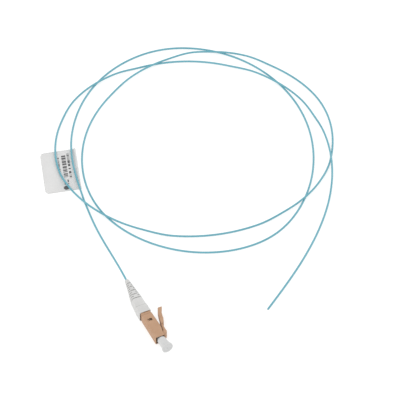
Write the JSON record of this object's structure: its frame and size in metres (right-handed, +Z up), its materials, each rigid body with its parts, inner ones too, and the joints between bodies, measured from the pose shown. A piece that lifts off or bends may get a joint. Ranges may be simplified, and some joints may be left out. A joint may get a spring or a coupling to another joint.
{
  "type": "fibre optic pigtail",
  "caption": "Latched fibre plug with a dust cap and a slotted strain-relief boot, on a thin buffered fibre that lies in a loose coil over a folded flag label.",
  "frame": {"origin": "middle of the plug's underside, on the surface that it lies on; the free fibre and its label are left out of the measure", "axes": "+X along the ferrule, out of the plug; +Y to the latch side; +Z up, with the plug lying on its side"},
  "size_m": [0.1832, 0.1439, 0.0055],
  "materials": {
    "plug_plastic": "satin moulded beige",
    "boot_plastic": "satin moulded white",
    "cap_plastic": "milky soft plastic",
    "ferrule_ceramic": "polished",
    "holder_metal": "turned",
    "fibre_buffer": "smooth tight buffer",
    "label_paper": "coated label stock"
  },
  "bodies": {
    "plug": {"housing": "plug_plastic", "rear_body": "plug_plastic", "spring": "holder_metal", "strain_relief_boot": "boot_plastic", "buffered_fibre": "fibre_buffer", "flag_label": "label_paper"},
    "latch": {"release_latch": "plug_plastic"},
    "cap": {"dust_cap": "cap_plastic"},
    "ferrule_unit": {"ferrule": "ferrule_ceramic", "ferrule_holder": "holder_metal"}
  },
  "joints": [
    {"name": "cap_pull", "type": "slide", "parent": "plug", "child": "cap", "axis": [0.9966, 0.0819, 0], "range_m": [0, 0.012]},
    {"name": "latch_press", "type": "hinge", "parent": "plug", "child": "latch", "pos_m": [0.01411, -0.00054, 0.00275], "axis": [0, 0, 1], "range_deg": [0, 7], "stiffness_Nm_per_rad": 0.0005},
    {"name": "ferrule_push", "type": "slide", "parent": "plug", "child": "ferrule_unit", "axis": [1, 0, 0], "range_m": [-0.001, 0], "stiffness_N_per_m": 20, "deforming": ["spring"]}
  ]
}
